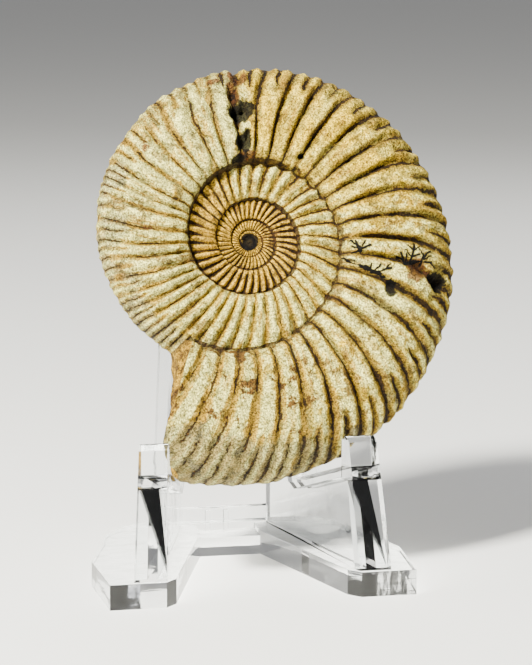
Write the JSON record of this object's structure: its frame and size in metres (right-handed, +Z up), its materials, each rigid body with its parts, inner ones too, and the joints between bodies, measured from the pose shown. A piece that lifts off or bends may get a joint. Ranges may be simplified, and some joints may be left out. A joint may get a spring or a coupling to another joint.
{
  "type": "perisphinctes ammonite",
  "caption": "Flat coiled, finely ribbed ammonite fossil in pale cream and ochre limestone, leaning on the two spread wings of a clear moulded display stand.",
  "frame": {"origin": "under the middle of the whole object's box, on the surface that the stand rests on", "axes": "+Z up, +X to the right as seen from the front, +Y to the back; the shell faces -Y and leans back"},
  "size_m": [0.093, 0.061, 0.1216],
  "materials": {
    "limestone": "matt fossil limestone, cream on the ribs, ochre to dark brown in the furrows and seams",
    "clear_plastic": "clear glossy moulded plastic"
  },
  "bodies": {
    "root": {"ammonite": "limestone", "stand": "clear_plastic"}
  },
  "joints": []
}
